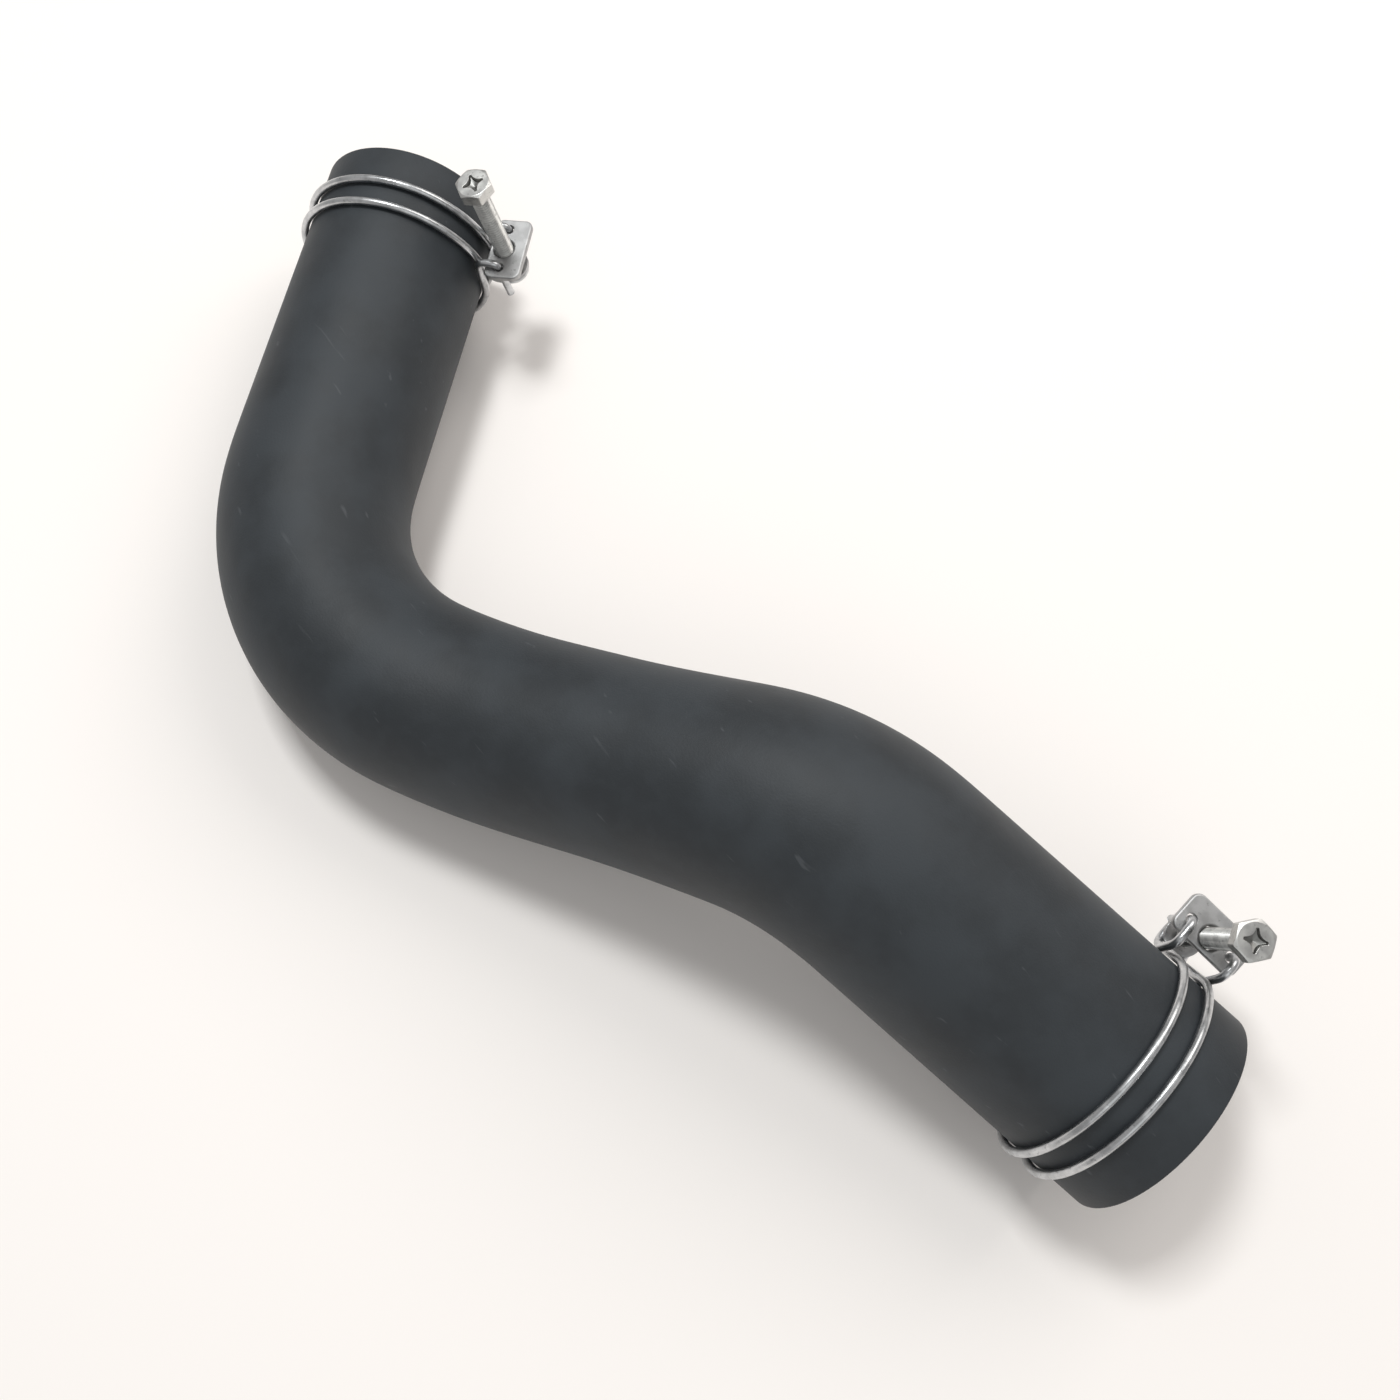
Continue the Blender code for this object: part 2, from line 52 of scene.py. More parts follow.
CORNER_HEIGHTS = (31.89 * MM, 27.6 * MM, 30.7 * MM, 58.1 * MM, 30.82 * MM)
ELBOW_PLACE = (-73.16 * MM, -76.13 * MM)
BEND_RADII = (66.0 * MM, 150.0 * MM, 70.0 * MM)
TAPER_START = 250.0 * MM
TAPER_LENGTH = 80.0 * MM
OUTER_EDGE_ROUND = 0.7 * MM
INNER_EDGE_ROUND = 0.5 * MM
RIM_EDGE_STEPS = 6
STATIONS_LEFT_AT_RIM = 4
ROUTE_STEP = 1.0 * MM
HOSE_STEP = 1.6 * MM
HOSE_EASING = 3
HOSE_SIDES = 96
MEAN_HOSE_RADIUS = 30.0 * MM
RUBBER_DARK = (0.020, 0.024, 0.028)
RUBBER_PALE = (0.031, 0.037, 0.043)
RUBBER_SCUFF = (0.075, 0.082, 0.090)
RUBBER_ROUGHNESS = (0.46, 0.72)
RUBBER_SPECULAR = 0.42


def unit(vectors):
    """Vectors divided by their lengths."""
    return vectors / np.linalg.norm(vectors, axis=-1, keepdims=True)


def smoothstep(share):
    """Three times the square less twice the cube, with the share held between 0 and 1."""
    share = np.clip(share, 0.0, 1.0)
    return share * share * (3.0 - 2.0 * share)


def read_off(distances, along, values):
    """A line's values at distances along it, with each coordinate interpolated."""
    return np.stack([np.interp(distances, along, values[:, k]) for k in range(3)], axis=1)


def spaced(points, spacing):
    """Points at an even spacing along a polyline, read off by distance along it."""
    reach = np.concatenate([[0.0], np.cumsum(np.linalg.norm(np.diff(points, axis=0), axis=1))])
    count = int(round(reach[-1] / spacing))
    along = np.linspace(0.0, reach[-1], count + 1)
    return read_off(along, reach, points), along


def rounded_line(corners, radii, spacing):
    """Straight legs joined by circular arcs: each arc touches both legs of its corner.

    The arc starts at the corner's radius times the tangent of half the turn back along the
    leg, and sweeps its spoke through the turn towards the next leg.
    """
    parts = [corners[0][None]]
    for before, corner, after, radius in zip(corners, corners[1:], corners[2:], radii):
        back, ahead = unit(before - corner), unit(after - corner)
        turn = math.pi - math.acos(float(back @ ahead))
        start = corner + back * radius * math.tan(turn / 2)
        centre = corner + unit(back + ahead) * radius / math.cos(turn / 2)
        sweep = np.linspace(0.0, turn, max(4, int(radius * turn / spacing)))[:, None]
        parts.append(centre + (start - centre) * np.cos(sweep) - back * radius * np.sin(sweep))
    return np.concatenate(parts + [corners[-1][None]])


def eased(line, width):
    """The line averaged under a bell curve of so many stations, with its ends carried on.

    The bell reaches three times its width each way.
    """
    reach = 3 * width
    steps = np.arange(1, reach + 1)[:, None]
    head = line[0] - (line[1] - line[0]) * steps[::-1]
    tail = line[-1] + (line[-1] - line[-2]) * steps
    bell = np.exp(-0.5 * (np.arange(-reach, reach + 1) / width) ** 2)
    bell /= bell.sum()
    longer = np.concatenate([head, line, tail])
    return np.stack([np.convolve(longer[:, k], bell, "valid") for k in range(3)], axis=1)


def round_angles(sides):
    """Even angles round a circle, without the last one, which would fall on the first."""
    return np.linspace(0.0, 2 * math.pi, sides, endpoint=False)


def grid_mesh(name, points, size, close_rows=False, caps=False):
    """A mesh from a grid of points, rows by columns, whose columns run right round.

    Each face joins a row and a column to the next ones. The UV map gives the distance along
    the rows and around the columns in metres, from the size of the piece both ways.
    """
    rows, columns = points.shape[:2]
    last = rows if close_rows else rows - 1
    i, j = np.meshgrid(np.arange(last), np.arange(columns), indexing="ij")
    corners = [(i, j), (i, j + 1), (i + 1, j + 1), (i + 1, j)]
    quads = np.stack([(a % rows) * columns + b % columns for a, b in corners], axis=-1)
    faces = quads.reshape(-1, 4).tolist()
    if caps:
        faces.append(list(range(columns))[::-1])
        faces.append(list(range((rows - 1) * columns, rows * columns)))
    mesh = bpy.data.meshes.new(name)
    mesh.from_pydata(points.reshape(-1, 3).tolist(), [], faces)
    across = np.stack([np.stack([a / last, b / columns], axis=-1) for a, b in corners], axis=-2)
    chart = (across * np.array(size)).reshape(-1, 2)
    if caps:
        chart = np.concatenate([chart, np.zeros((2 * columns, 2))])
    layer = mesh.uv_layers.new(name="surface")
    layer.data.foreach_set("uv", chart.astype(np.float32).ravel())
    mesh.shade_smooth()
    return mesh


def finished_piece(name, mesh, material, body, slot, *nodes):
    """Put a mesh in the scene with its material, its body and the CAD nodes it stands for."""
    piece = bpy.data.objects.new(name, mesh)
    bpy.context.scene.collection.objects.link(piece)
    mesh.materials.append(material)
    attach(piece, body)
    if nodes:
        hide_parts(*nodes)
    return piece


def hose_route():
    """Corners of the hose's centre line, each a level run along a heading from the last."""
    turns = np.stack([np.cos(LEG_HEADINGS), np.sin(LEG_HEADINGS)], axis=1)
    moves = turns * np.array(LEG_RUNS)[:, None]
    elbow = np.array(ELBOW_PLACE)
    spots = np.concatenate([[elbow - moves[0], elbow], elbow + np.cumsum(moves[1:], axis=0)])
    return np.column_stack([spots, CORNER_HEIGHTS])


def hose_radius(along):
    """Outer radius at a distance from the small rim: a smooth step up over the taper."""
    growth = smoothstep((along - TAPER_START) / TAPER_LENGTH)
    return SMALL_HOSE_RADIUS + (LARGE_HOSE_RADIUS - SMALL_HOSE_RADIUS) * growth


def hose_surface(line, along, sides):
    """Rings along the outside, round each rim, and back along the inside.

    A point is the centre line plus the ring's radius times the cosine of its angle to the
    level side and the sine of it to the upper side. Each rim edge is a quarter circle.
    """
    quarter = np.linspace(0.0, math.pi / 2, RIM_EDGE_STEPS)
    length = along[-1]
    middle = along[STATIONS_LEFT_AT_RIM:-STATIONS_LEFT_AT_RIM]
    inward, sunk = 1 - np.sin(quarter), 1 - np.cos(quarter)
    outer_s, outer_r = OUTER_EDGE_ROUND * inward, -OUTER_EDGE_ROUND * sunk
    inner_s, inner_r = INNER_EDGE_ROUND * inward, INNER_EDGE_ROUND * sunk - HOSE_WALL
    outside = [(outer_s[::-1], outer_r[::-1]), (middle, 0 * middle), (length - outer_s, outer_r)]
    lining = [(length - inner_s[::-1], inner_r[::-1]), (middle[::-1], 0 * middle - HOSE_WALL),
              (inner_s, inner_r)]
    stations = np.concatenate([part[0] for part in outside + lining])
    lifts = np.concatenate([part[1] for part in outside + lining])
    centres = read_off(stations, along, line)
    heading = unit(read_off(stations, along, unit(np.gradient(line, axis=0))))
    level = unit(np.cross(UP, heading))
    upper = np.cross(heading, level)
    radius = (hose_radius(stations) + lifts)[:, None, None]
    angle = round_angles(sides)[None, :, None]
    spoke = np.cos(angle) * level[:, None] + np.sin(angle) * upper[:, None]
    return centres[:, None] + radius * spoke


def add_node(tree, kind, inputs=None, **settings):
    """Add a shader node with its settings, and set or link each named input."""
    node = tree.nodes.new(kind)
    for key, value in settings.items():
        setattr(node, key, value)
    for key, value in (inputs or {}).items():
        if isinstance(value, bpy.types.NodeSocket):
            tree.links.new(value, node.inputs[key])
        else:
            node.inputs[key].default_value = value
    return node


def new_group(name, inputs, outputs):
    """A shader node group with named inputs, given as name, socket and value, and outputs."""
    tree = bpy.data.node_groups.new(name, "ShaderNodeTree")
    for label, socket, value in inputs:
        made = tree.interface.new_socket(label, in_out="INPUT", socket_type=socket)
        if value is not None:
            made.default_value = value
    for label, socket in outputs:
        tree.interface.new_socket(label, in_out="OUTPUT", socket_type=socket)
    return tree, tree.nodes.new("NodeGroupInput").outputs, tree.nodes.new("NodeGroupOutput").inputs


# Patches: noise between two levels, for mottling, wear and uneven gloss
patches, given, put = new_group(
    "patches",
    [("Place", "NodeSocketVector", None), ("Per Metre", "NodeSocketFloat", 100.0),
     ("Detail", "NodeSocketFloat", 3.0), ("From", "NodeSocketFloat", 0.4),
     ("To", "NodeSocketFloat", 0.6)],
    [("Mask", "NodeSocketFloat"), ("Raw", "NodeSocketFloat")])
noise = add_node(patches, "ShaderNodeTexNoise",
                 {"Vector": given["Place"], "Scale": given["Per Metre"],
                  "Detail": given["Detail"]})
raw = noise.outputs["Fac"]
mask = add_node(patches, "ShaderNodeMapRange",
                {"Value": raw, "From Min": given["From"], "From Max": given["To"]},
                interpolation_type="SMOOTHSTEP")
patches.links.new(mask.outputs["Result"], put["Mask"])
patches.links.new(raw, put["Raw"])


def add_patches(tree, place, per_metre, detail, low, high):
    """Place the patches group with its own scale, detail and levels."""
    node = add_node(tree, "ShaderNodeGroup", node_tree=patches)
    tree.links.new(place, node.inputs["Place"])
    levels = (("Per Metre", per_metre), ("Detail", detail), ("From", low), ("To", high))
    for key, value in levels:
        node.inputs[key].default_value = value
    return node.outputs


# The Mix node's inputs and output for colours, which share their names with those for numbers
MIX_SHARE, MIX_FIRST, MIX_SECOND = 0, 6, 7
MIX_RESULT = 2


def mixed(tree, share, first, second):
    """A colour between two, by a mask."""
    node = add_node(tree, "ShaderNodeMix", data_type="RGBA")
    tree.links.new(share, node.inputs[MIX_SHARE])
    for number, value in ((MIX_FIRST, first), (MIX_SECOND, second)):
        if isinstance(value, bpy.types.NodeSocket):
            tree.links.new(value, node.inputs[number])
        else:
            node.inputs[number].default_value = (*value, 1.0)
    return node.outputs[MIX_RESULT]


def span(tree, value, low, high):
    """A mask stretched from 0..1 to a range of its own."""
    node = add_node(tree, "ShaderNodeMapRange", {"Value": value, "To Min": low, "To Max": high})
    return node.outputs["Result"]


rubber = bpy.data.materials.new("hose_rubber")
rubber.use_nodes = True
tree = rubber.node_tree
shader = tree.nodes["Principled BSDF"]
place = add_node(tree, "ShaderNodeTexCoord").outputs["Object"]
stretched = add_node(tree, "ShaderNodeMapping",
                     {"Vector": place, "Rotation": (0.4, 0.9, 0.5), "Scale": (30.0, 420.0, 420.0)})
scratch_place = stretched.outputs["Vector"]
mottle = add_patches(tree, place, per_metre=38.0, detail=5.0, low=0.38, high=0.66)
bloom = add_patches(tree, place, per_metre=210.0, detail=4.0, low=0.45, high=0.70)
scratches = add_patches(tree, scratch_place, per_metre=1.0, detail=2.0, low=0.70, high=0.78)
grain = add_patches(tree, place, per_metre=1500.0, detail=2.0, low=0.3, high=0.7)
waviness = add_patches(tree, place, per_metre=55.0, detail=1.0, low=0.2, high=0.8)
base = mixed(tree, mottle["Mask"], RUBBER_DARK, RUBBER_PALE)
base = mixed(tree, span(tree, bloom["Mask"], 0.0, 0.25), base, RUBBER_PALE)
base = mixed(tree, span(tree, scratches["Mask"], 0.0, 0.5), base, RUBBER_SCUFF)
tree.links.new(base, shader.inputs["Base Color"])
tree.links.new(span(tree, mottle["Raw"], *RUBBER_ROUGHNESS), shader.inputs["Roughness"])
shader.inputs["Specular IOR Level"].default_value = RUBBER_SPECULAR
grain_bump = add_node(tree, "ShaderNodeBump",
                      {"Height": grain["Raw"], "Strength": 0.35, "Distance": 0.12 * MM})
wave_bump = add_node(tree, "ShaderNodeBump",
                     {"Height": waviness["Raw"], "Strength": 0.6, "Distance": 0.9 * MM,
                      "Normal": grain_bump.outputs["Normal"]})
tree.links.new(wave_bump.outputs["Normal"], shader.inputs["Normal"])

route = rounded_line(hose_route(), BEND_RADII, ROUTE_STEP)
hose_line, hose_along = spaced(route, HOSE_STEP)
hose_line = eased(hose_line, HOSE_EASING)
hose_points = hose_surface(hose_line, hose_along, HOSE_SIDES)
hose_chart = (2 * hose_along[-1], 2 * math.pi * MEAN_HOSE_RADIUS)
hose_mesh = grid_mesh("moulded_hose", hose_points, hose_chart, close_rows=True)
finished_piece("moulded_hose", hose_mesh, rubber, "hose", "hose_rubber", "hose_body")


# Clamp wires
# Each clamp is one length of round zinc-plated wire. It is hooked through one end of the
# plate, wraps the hose, makes a U-bend around the thrust cup, wraps the hose again beside
# the first ring, and is hooked through the plate's other end.
WIRE_RADIUS = 1.2 * MM
RING_SPACING = 8.4 * MM
LEG_BEND_RADIUS = 3.0 * MM
LEG_FROM_SCREW = 5.7 * MM
HOOK_STUB = 12.0 * MM
FLARE_ANGLE = math.radians(40)
FLARE_SHARE = 0.55
SEAT_GAP = 0.3 * MM
PLATE_WIDTH = 12.0 * MM
PLATE_THICKNESS = 2.1 * MM
PLATE_OFFSET = 1.35 * MM
HOOK_HOLE_SPACING = 14.2 * MM
PILOT_RADIUS = 1.6 * MM
PILOT_GAP = 0.2 * MM
CUP_WALL = 0.75 * MM
CUP_BORE_RADIUS = PILOT_RADIUS + PILOT_GAP
CUP_BODY_RADIUS = CUP_BORE_RADIUS + CUP_WALL
CUP_BORE_DEPTH = 3.0 * MM
CUP_FLANGE_THICKNESS = 1.2 * MM
LOOP_RADIUS = CUP_BODY_RADIUS + SEAT_GAP + WIRE_RADIUS
LEAN_START = 0.7
LEAN_SPAN = 0.3
WIRE_END_RADII = np.array([0.25, 0.8, 1.0, 1.0])
WIRE_END_REACHES = np.array([0.0, 0.05, 0.3, 0.5])
FIRST_SIDE = (0.31, 0.2, 0.93)
WIRE_BEND_STEP = 0.3 * MM
WIRE_RUN_POINTS = 60
WIRE_RING_POINTS = 400
WIRE_LOOP_POINTS = 24
WIRE_STEP = 0.5 * MM
WIRE_EASING = 2
WIRE_SIDES = 16
MARKS_PER_METRE = 120.0
SPOT_SHADE = 0.55

# Each clamp: its station along the hose, its turn about it, the screw's distance from the
# hose, the plate's and the screw's own places and leans, and how far each hook rises and reaches
clamps = {
    "small_end": {
        "station": 17.8 * MM, "clocking": math.radians(9), "stand_off": 9.4 * MM,
        "plate_y": -5.8 * MM, "plate_turn": math.radians(-0.7), "skew": math.radians(1.9),
        "shift": 0.65 * MM, "screw_length": 38.8 * MM, "exposed": 27.6 * MM,
        "head_turn": math.radians(3.75), "recess_turn": math.radians(32.6),
        "hook_rises": (1.7 * MM, 1.7 * MM), "hook_reaches": (1.9 * MM, 1.9 * MM)},
    "large_end": {
        "station": hose_along[-1] - 19.3 * MM, "clocking": math.radians(7),
        "stand_off": 11.5 * MM,
        "plate_y": -4.6 * MM, "plate_turn": math.radians(3.1), "skew": math.radians(-2.5),
        "shift": -1.0 * MM, "screw_length": 43.0 * MM, "exposed": 22.2 * MM,
        "head_turn": math.radians(22.5), "recess_turn": math.radians(28.5),
        "hook_rises": (2.6 * MM, 5.0 * MM), "hook_reaches": (3.6 * MM, 1.9 * MM)},
}


def turned(angle, axis):
    """Rotation matrix about one of the three axes, by the right-hand rule."""
    c, s = math.cos(angle), math.sin(angle)
    a, b = [k for k in range(3) if k != axis]
    matrix = np.eye(3)
    matrix[a, a] = matrix[b, b] = c
    matrix[a, b], matrix[b, a] = (-s, s) if axis != 1 else (s, -s)
    return matrix


def settle_clamp(clamp):
    """Work out one clamp's frame on the hose and its sizes along and across the screw.

    The frame's first axis points out to the screw, the second runs from the screw's head to
    its tip, and the third runs along the hose towards the small end.
    """
    near = int(round(clamp["station"] / (hose_along[1] - hose_along[0])))
    run = unit(hose_line[near + 1] - hose_line[near - 1])
    centre = hose_line[near] + run * (clamp["station"] - hose_along[near])
    level = unit(np.cross(UP, run))
    top = np.cross(run, level)
    outward = level * math.cos(clamp["clocking"]) + top * math.sin(clamp["clocking"])
    clamp["centre"] = centre
    clamp["axes"] = np.stack([outward, np.cross(-run, outward), -run], axis=1)
    hose_r = float(hose_radius(clamp["station"]))
    clamp["ring_r"] = hose_r + SEAT_GAP + WIRE_RADIUS
    clamp["screw_x"] = hose_r + clamp["stand_off"]
    clamp["head_y"] = clamp["plate_y"] - clamp["exposed"]
    clamp["cup_top_y"] = clamp["head_y"] + clamp["screw_length"] + SEAT_GAP - CUP_BORE_DEPTH
    clamp["loop_y"] = clamp["cup_top_y"] + CUP_FLANGE_THICKNESS + SEAT_GAP + WIRE_RADIUS


def placed(clamp, points):
    """Points from a clamp's frame to the hose's frame."""
    return clamp["centre"] + points @ clamp["axes"].T


def on_screw_line(clamp, points):
    """Points from the frame of the plate and screw, which leans with the screw, to the hose's."""
    pivot = np.array([clamp["screw_x"], clamp["plate_y"], clamp["shift"]])
    return placed(clamp, points @ turned(clamp["skew"], 0).T + pivot)


def half_wire(clamp, side):
    """Half of the wire's centre line: the stub, the hook, the flare, the ring and the leg.

    The straight run from the hook meets the ring as a tangent, at the angle of its outer end
    plus the angle whose cosine is the ring's radius over that end's distance.
    """
    ring_r, plate_y = clamp["ring_r"], clamp["plate_y"]
    row = 0 if side > 0 else 1
    rise, reach = clamp["hook_rises"][row], clamp["hook_reaches"][row]
    hole_x = clamp["screw_x"] + side * HOOK_HOLE_SPACING / 2 * math.sin(clamp["plate_turn"])
    hole_z = side * HOOK_HOLE_SPACING / 2 * math.cos(clamp["plate_turn"])
    ring_z = side * RING_SPACING / 2
    hook_y = plate_y - rise
    near_x = hole_x - (PLATE_WIDTH / 2 - PLATE_OFFSET) / math.cos(clamp["plate_turn"]) - reach

    def touch(x, y, way):
        return math.atan2(y, x) + way * math.acos(ring_r / math.hypot(x, y))

    leave = touch(near_x, hook_y, 1)
    tangent = np.array([ring_r * math.cos(leave), ring_r * math.sin(leave), hole_z])
    shoulder = np.array([near_x, hook_y, hole_z])
    steady = tangent + (shoulder - tangent) * FLARE_SHARE
    stub_end = np.array([hole_x, plate_y + PLATE_THICKNESS + HOOK_STUB, hole_z])
    bend = min(rise, (hole_x - near_x) / 2)
    hook = rounded_line([stub_end, np.array([hole_x, hook_y, hole_z]), shoulder, steady],
                        [bend, bend], WIRE_BEND_STEP)

    straight = float(np.linalg.norm(tangent - steady))
    total = straight + ring_r * FLARE_ANGLE
    back = np.linspace(0.0, total, WIRE_RUN_POINTS)[1:]
    angle = leave + np.maximum(back - straight, 0.0) / ring_r
    slide = np.minimum(back / straight, 1.0)[:, None]
    run = np.where(back[:, None] < straight, steady + (tangent - steady) * slide,
                   np.stack([ring_r * np.cos(angle), ring_r * np.sin(angle), 0 * angle], axis=1))
    run[:, 2] = hole_z + (ring_z - hole_z) * smoothstep(back / total)

    corner = np.array([clamp["screw_x"] - LEG_FROM_SCREW, clamp["loop_y"], ring_z])
    arrive = touch(corner[0], corner[1], -1) + 2 * math.pi
    angle = np.linspace(leave + FLARE_ANGLE, arrive, WIRE_RING_POINTS)[1:-1]
    ring = np.stack([ring_r * np.cos(angle), ring_r * np.sin(angle), ring_z + 0 * angle], axis=1)
    meet = np.array([ring_r * math.cos(arrive), ring_r * math.sin(arrive), ring_z])
    loop_start = np.array([clamp["screw_x"], clamp["loop_y"], side * LOOP_RADIUS])
    leg = rounded_line([meet, corner, loop_start], [LEG_BEND_RADIUS], WIRE_BEND_STEP)
    return np.concatenate([hook, run, ring, leg])


def wire_line(clamp):
    """The whole wire: one half, the U-bend's half circle, and the other half backwards.

    Near the screw the wire leans and shifts with it, by a smooth share that falls to none
    on the ring.
    """
    sweep = np.linspace(math.pi / 2, -math.pi / 2, WIRE_LOOP_POINTS)[1:-1]
    out = clamp["screw_x"] + LOOP_RADIUS * np.cos(sweep)
    bend = np.stack([out, clamp["loop_y"] + 0 * sweep, LOOP_RADIUS * np.sin(sweep)], axis=1)
    line = np.concatenate([half_wire(clamp, 1), bend, half_wire(clamp, -1)[::-1]])
    share = smoothstep((line[:, 0] / clamp["ring_r"] - LEAN_START) / LEAN_SPAN)
    y, z = line[:, 1] - clamp["plate_y"], line[:, 2]
    lean = clamp["skew"] * share
    line[:, 1] = clamp["plate_y"] + y * np.cos(lean) - z * np.sin(lean)
    line[:, 2] = y * np.sin(lean) + z * np.cos(lean) + clamp["shift"] * share
    return line


def wire_surface(line, sides):
    """A round section carried along the line without twisting, with chamfered cut ends.

    Each station's first cross direction is the last one less its part along the new heading.
    Each cut end is a few sections at one station, which grow while they reach into the wire.
    """
    heading = unit(np.gradient(line, axis=0))
    first = np.empty_like(heading)
    first[0] = unit(np.cross(heading[0], FIRST_SIDE))
    for k in range(1, len(line)):
        first[k] = unit(first[k - 1] - (first[k - 1] @ heading[k]) * heading[k])
    last = len(line) - 1
    end = np.zeros(len(WIRE_END_RADII), dtype=int)
    station = np.concatenate([end, np.arange(1, last), end + last])
    reach = WIRE_END_REACHES * WIRE_RADIUS
    ahead = np.concatenate([reach, np.zeros(last - 1), -reach[::-1]])
    size = np.concatenate([WIRE_END_RADII, np.ones(last - 1), WIRE_END_RADII[::-1]])
    radius = WIRE_RADIUS * size
    first, heading = first[station], heading[station]
    second = np.cross(heading, first)
    angle = round_angles(sides)[None, :, None]
    centres = line[station] + heading * ahead[:, None]
    across = np.cos(angle) * first[:, None] + np.sin(angle) * second[:, None]
    return centres[:, None] + radius[:, None, None] * across


def zinc_finish(name, dark, bright, gloss, lines):
    """Zinc-plated steel: patchy grey, uneven gloss, small dull spots and fine marks.

    The marks are noise stretched along the piece by its UV map, where lines gives how much
    finer they are across than along.
    """
    material = bpy.data.materials.new(name)
    material.use_nodes = True
    tree = material.node_tree
    shader = tree.nodes["Principled BSDF"]
    coordinates = add_node(tree, "ShaderNodeTexCoord")
    place = coordinates.outputs["Object"]
    stretch = (MARKS_PER_METRE, MARKS_PER_METRE * lines, 1.0)
    chart = add_node(tree, "ShaderNodeMapping",
                     {"Vector": coordinates.outputs["UV"], "Scale": stretch})
    mark_place = chart.outputs["Vector"]
    cloud = add_patches(tree, place, per_metre=260.0, detail=4.0, low=0.35, high=0.65)
    spots = add_patches(tree, place, per_metre=900.0, detail=3.0, low=0.60, high=0.72)
    marks = add_patches(tree, mark_place, per_metre=1.0, detail=3.0, low=0.42, high=0.62)
    base = mixed(tree, cloud["Mask"], dark, bright)
    base = mixed(tree, span(tree, marks["Mask"], 0.0, 0.35), base, dark)
    spot_colour = tuple(SPOT_SHADE * part for part in dark)
    base = mixed(tree, span(tree, spots["Mask"], 0.0, 0.6), base, spot_colour)
    tree.links.new(base, shader.inputs["Base Color"])
    tree.links.new(span(tree, cloud["Raw"], *gloss), shader.inputs["Roughness"])
    shader.inputs["Metallic"].default_value = 1.0
    bump = add_node(tree, "ShaderNodeBump",
                    {"Height": marks["Raw"], "Strength": 0.3, "Distance": 0.05 * MM})
    tree.links.new(bump.outputs["Normal"], shader.inputs["Normal"])
    return material


wire_steel = zinc_finish("clamp_wire_steel", dark=(0.46, 0.47, 0.48), bright=(0.66, 0.67, 0.68),
                         gloss=(0.20, 0.40), lines=24.0)
for end, clamp in clamps.items():
    settle_clamp(clamp)
    wire, wire_along = spaced(wire_line(clamp), WIRE_STEP)
    wire = placed(clamp, eased(wire, WIRE_EASING))
    wire_chart = (wire_along[-1], 2 * math.pi * WIRE_RADIUS)
    wire_mesh = grid_mesh(end + "_wire", wire_surface(wire, WIRE_SIDES), wire_chart, caps=True)
    finished_piece(end + "_wire", wire_mesh, wire_steel, "hose", "clamp_wire_steel",
                   end + "_clamp_wire")


# Clamp plates
# A thick stamped plate with rounded corners, tapped in the middle through a collar that the
# punch draws out of its back, and pierced near both ends for the wire's hooks.
PLATE_LENGTH = 21.6 * MM
PLATE_CORNER = 2.5 * MM
PLATE_EDGE_ROUND = 0.55 * MM
HOLE_EDGE_ROUND = 0.2 * MM
HOOK_HOLE_RADIUS = 1.65 * MM
SCREW_BORE_RADIUS = 3.2 * MM
BORE_DRAW_ROUND = 0.75 * MM
COLLAR_RADIUS = 3.8 * MM
COLLAR_HEIGHT = 2.0 * MM
PLATE_CORNER_STEPS = 8
PLATE_EDGE_STEPS = 5
HOOK_HOLE_SIDES = 24
SCREW_BORE_SIDES = 48
SAME_POINT = 0.0001 * MM


def rounded_oblong(inset):
    """Outline of the plate, moved in: four quarter circles about the corners' centres."""
    half = np.array([PLATE_WIDTH, PLATE_LENGTH]) / 2 - PLATE_CORNER
    steps = PLATE_CORNER_STEPS
    corner = np.repeat(np.array([[1, 1], [-1, 1], [-1, -1], [1, -1]]) * half, steps, axis=0)
    start = np.repeat(np.arange(4) * math.pi / 2, steps)
    angle = start + np.tile(np.linspace(0, math.pi / 2, steps), 4)
    arcs = (PLATE_CORNER - inset) * np.stack([np.cos(angle), np.sin(angle)], axis=1)
    return corner + arcs + [PLATE_OFFSET, 0.0]


def circle(radius, centre_z, sides):
    """Points round a circle in the plate's plane."""
    angle = round_angles(sides)
    return np.stack([radius * np.cos(angle), centre_z + radius * np.sin(angle)], axis=1)


def plate_loops():
    """Stacks of level loops, from the plate's front to its back, for its edge and each hole.

    A rounded edge moves in by its radius less the sine of the sweep while it rises by the
    radius less the cosine. The middle hole carries on up its collar and down outside it.
    """
    sweep = np.linspace(0, math.pi / 2, PLATE_EDGE_STEPS)
    turn_in, rise = 1 - np.sin(sweep), 1 - np.cos(sweep)
    thick = PLATE_THICKNESS

    def rounded_sides(edge):
        """How far in and how far back each loop of a plain side stands."""
        insets = edge * np.concatenate([turn_in, turn_in[::-1]])
        return zip(insets, np.concatenate([edge * rise, thick - edge * rise[::-1]]))

    outline = [(rounded_oblong(i), h) for i, h in rounded_sides(PLATE_EDGE_ROUND)]
    hooks = [[(circle(HOOK_HOLE_RADIUS + i, s * HOOK_HOLE_SPACING / 2, HOOK_HOLE_SIDES), h)
              for i, h in rounded_sides(HOLE_EDGE_ROUND)] for s in (-1, 1)]
    top = thick + COLLAR_HEIGHT
    draw, edge = BORE_DRAW_ROUND, HOLE_EDGE_ROUND
    radii = np.concatenate([
        SCREW_BORE_RADIUS + draw * turn_in, SCREW_BORE_RADIUS + edge * turn_in[::-1],
        COLLAR_RADIUS - edge * turn_in, COLLAR_RADIUS + edge * rise])
    levels = np.concatenate([
        draw * rise, top - edge * rise[::-1], top - edge * rise, thick + edge * turn_in])
    bore = [(circle(r, 0.0, SCREW_BORE_SIDES), h) for r, h in zip(radii, levels)]
    return [outline, *hooks, bore]


